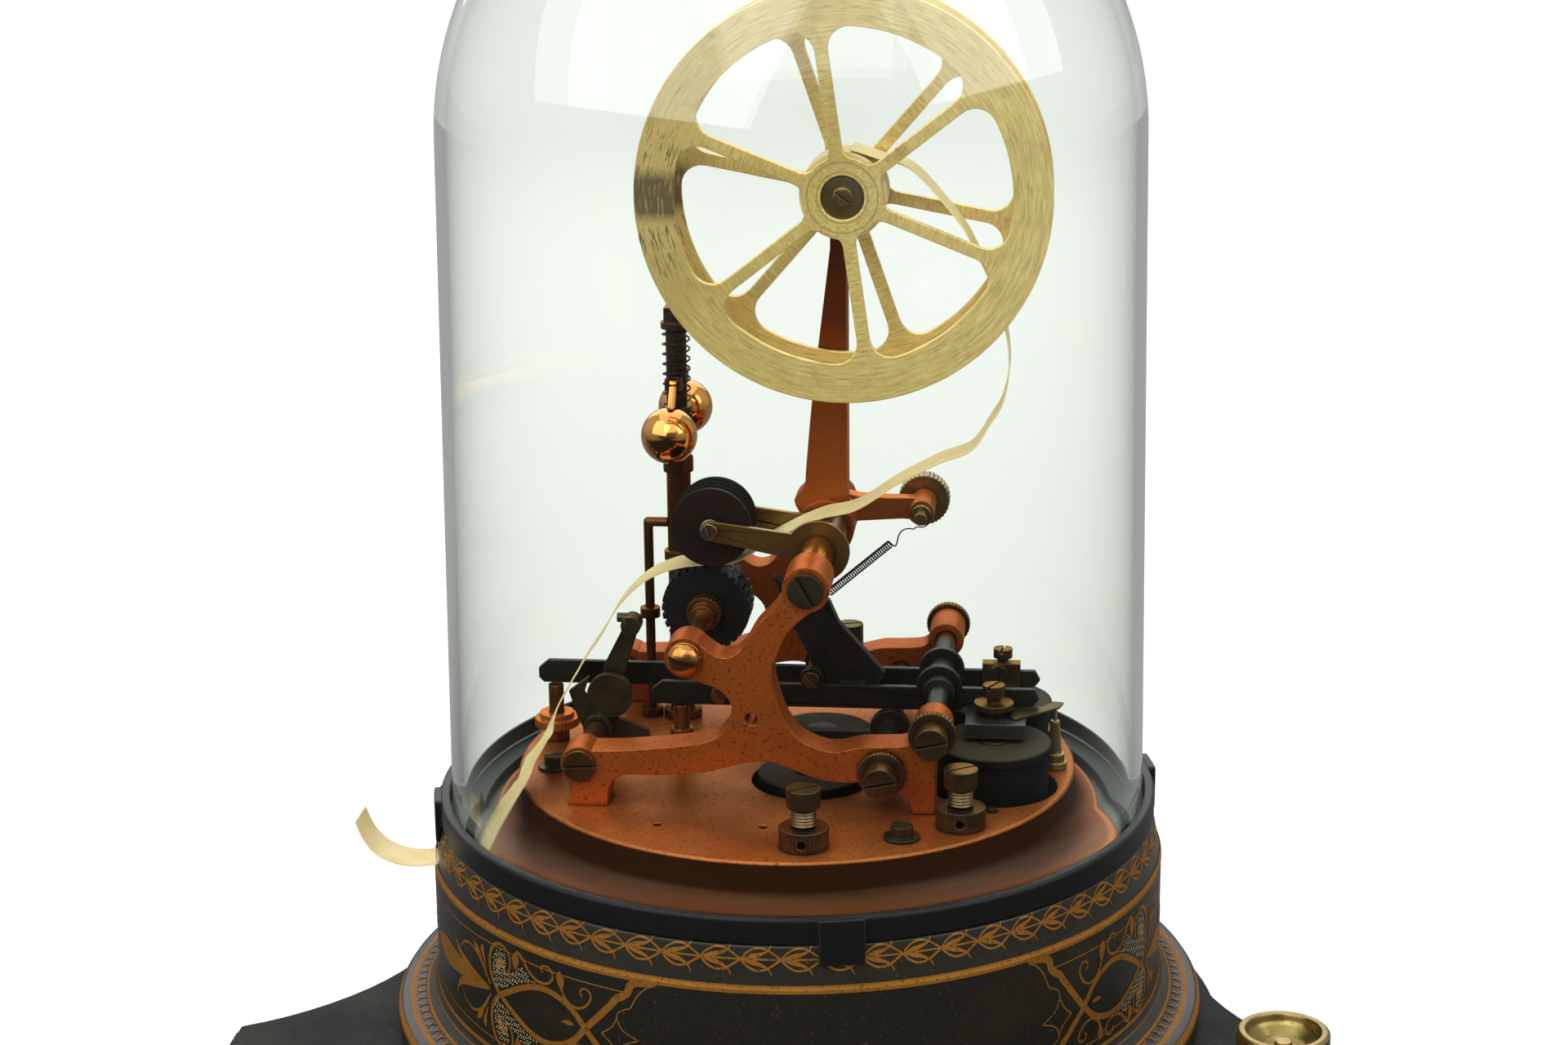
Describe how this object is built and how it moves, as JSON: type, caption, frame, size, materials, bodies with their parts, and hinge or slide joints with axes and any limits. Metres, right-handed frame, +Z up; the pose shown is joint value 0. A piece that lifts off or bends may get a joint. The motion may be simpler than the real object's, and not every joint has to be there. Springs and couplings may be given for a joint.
{
  "type": "stock ticker",
  "caption": "Stock ticker: paper reel, type wheels, print lever, magnets and ball governor on a plate under a glass dome, on a round drum and eared board.",
  "frame": {"origin": "the dome's axis at the underside of the board", "axes": "+X to the right, +Y away from the viewer along the shafts, +Z up"},
  "size_m": [0.332, 0.252, 0.3903],
  "materials": {
    "board_wood": "ebonised, rough and worn",
    "japan": "black japanned, aged, with gilt ornament",
    "black_satin": "satin black",
    "clear_glass": "clear with a faint green-grey tint",
    "lacquered_bronze": "aged orange lacquer, speckled",
    "dark_copper": "dark red-brown lacquer",
    "dark_bronze": "tarnished, worn bright at the edges",
    "brass_plain": "turned brass with light tarnish",
    "reel_brass": "pale brushed brass with stains",
    "copper_ball": "polished",
    "dark_steel": "blued and browned, with bright edges",
    "spring_steel": "oiled wire",
    "iron": "soft iron, dull",
    "felt": "inked felt",
    "hard_rubber": "dull dark-brown hard rubber",
    "wrapped_coil": "black wrapped winding",
    "paper": "aged cream paper"
  },
  "bodies": {
    "base": {"board": "board_wood", "drum": "japan", "terminal_studs": "brass_plain", "dome_ring": "black_satin", "mechanism_plate": "lacquered_bronze", "front_frame": "lacquered_bronze", "rear_frame": "lacquered_bronze", "top_tie_rod": "dark_bronze", "top_sleeve": "dark_bronze", "reel_pillar": "dark_copper", "spring_arm": "lacquered_bronze", "tension_spring": "spring_steel", "reel_axle": "dark_bronze", "paper_tape": "paper", "bearing_screws": "dark_bronze", "pivot_screws": "dark_bronze", "lock_nuts": "dark_bronze", "press_coils": "wrapped_coil", "type_coils": "wrapped_coil", "magnet_cores": "iron", "governor_column": "dark_copper", "stay_rod": "dark_bronze", "feed_shaft": "dark_bronze", "stop_posts": "dark_bronze", "binding_posts": "dark_bronze", "plate_screws": "dark_bronze", "contact_post": "brass_plain"},
    "dome": {"glass_dome": "clear_glass"},
    "terminal_nut_a": {"terminal_nut_rear": "brass_plain"},
    "terminal_nut_b": {"terminal_nut_front": "brass_plain"},
    "knob": {"spring_knob": "brass_plain"},
    "reel": {"reel_front_flange": "reel_brass", "reel_rear_flange": "reel_brass", "reel_hub": "reel_brass", "paper_roll": "paper"},
    "ink_fork": {"ink_arm": "brass_plain", "ink_roller_axle": "dark_bronze"},
    "ink_roller": {"ink_roller_felt": "felt", "ink_roller_cheeks": "hard_rubber"},
    "type_wheels": {"type_shaft": "dark_bronze", "front_type_wheel": "dark_steel", "rear_type_wheel": "dark_steel", "escape_wheel": "brass_plain"},
    "press_lever": {"lever_front_plate": "dark_steel", "lever_rear_plate": "dark_steel", "lever_shaft": "dark_steel", "lever_spacers": "dark_bronze", "print_crank": "dark_steel", "armature": "iron", "armature_screws": "dark_bronze", "contact_leaf": "brass_plain"},
    "shift": {"shift_lever": "dark_steel"},
    "governor": {"governor_spindle": "dark_bronze", "governor_spring": "spring_steel"},
    "ball_front": {"governor_ball_front": "copper_ball"},
    "ball_rear": {"governor_ball_rear": "copper_ball"},
    "feed": {"feed_rocker": "dark_bronze"},
    "thumb_nut": {"stop_nut": "dark_copper"},
    "binding_a": {"binding_screw_front": "dark_bronze"},
    "binding_b": {"binding_screw_side": "dark_bronze"}
  },
  "joints": [
    {"name": "dome_lift", "type": "slide", "parent": "base", "child": "dome", "axis": [0, 0, 1], "range_m": [0, 0.3]},
    {"name": "reel_spin", "type": "hinge", "parent": "base", "child": "reel", "pos_m": [0.0143, 0.008, 0.2733], "axis": [0, 1, 0], "continuous": true},
    {"name": "ink_fork_swing", "type": "hinge", "parent": "base", "child": "ink_fork", "pos_m": [0.0072, 0.005, 0.1716], "axis": [0, 1, 0], "range_deg": [0, 6]},
    {"name": "ink_roller_spin", "type": "hinge", "parent": "ink_fork", "child": "ink_roller", "pos_m": [-0.024, 0.004, 0.1772], "axis": [0, 1, 0], "continuous": true},
    {"name": "type_wheel_spin", "type": "hinge", "parent": "base", "child": "type_wheels", "pos_m": [-0.0266, 0.008, 0.1512], "axis": [0, 1, 0], "continuous": true},
    {"name": "press_lever_rock", "type": "hinge", "parent": "base", "child": "press_lever", "pos_m": [0.0422, 0.004, 0.13075], "axis": [0, 1, 0], "range_deg": [0, 1.5], "deforming": ["tension_spring"]},
    {"name": "shift_lever_rock", "type": "hinge", "parent": "base", "child": "shift", "pos_m": [0.0281, 0.004, 0.1187], "axis": [0, 1, 0], "range_deg": [-2, 2]},
    {"name": "governor_spin", "type": "hinge", "parent": "base", "child": "governor", "pos_m": [-0.0385, 0.034, 0.2], "axis": [0, 0, 1], "continuous": true},
    {"name": "ball_front_swing", "type": "hinge", "parent": "governor", "child": "ball_front", "pos_m": [-0.0385, 0.027, 0.2123], "axis": [1, 0, 0], "range_deg": [-12, 0]},
    {"name": "ball_rear_swing", "type": "hinge", "parent": "governor", "child": "ball_rear", "pos_m": [-0.0385, 0.041, 0.2123], "axis": [1, 0, 0], "range_deg": [0, 12]},
    {"name": "feed_rock", "type": "hinge", "parent": "base", "child": "feed", "pos_m": [-0.057, -0.008, 0.1187], "axis": [0, 1, 0], "range_deg": [-4.5, 0]},
    {"name": "knob_turn", "type": "hinge", "parent": "base", "child": "knob", "pos_m": [0.0352, 0.035, 0.1742], "axis": [0, 1, 0], "continuous": true},
    {"name": "thumb_nut_turn", "type": "hinge", "parent": "base", "child": "thumb_nut", "pos_m": [-0.0737, 0.0105, 0.112], "axis": [0, 0, 1], "continuous": true},
    {"name": "binding_screw_a_turn", "type": "hinge", "parent": "base", "child": "binding_a", "pos_m": [0.0087, -0.0693, 0.115], "axis": [0, 0, 1], "continuous": true},
    {"name": "binding_screw_b_turn", "type": "hinge", "parent": "base", "child": "binding_b", "pos_m": [0.0504, -0.0511, 0.115], "axis": [0, 0, 1], "continuous": true},
    {"name": "terminal_nut_a_turn", "type": "hinge", "parent": "base", "child": "terminal_nut_a", "pos_m": [0.1413, -0.0542, 0.04], "axis": [0, 0, 1], "continuous": true},
    {"name": "terminal_nut_b_turn", "type": "hinge", "parent": "base", "child": "terminal_nut_b", "pos_m": [0.1413, -0.086, 0.04], "axis": [0, 0, 1], "continuous": true}
  ],
  "couplings": [
    {"joint": "ball_rear_swing", "follows": "ball_front_swing", "ratio": -1},
    {"joint": "feed_rock", "follows": "press_lever_rock", "ratio": -3}
  ]
}
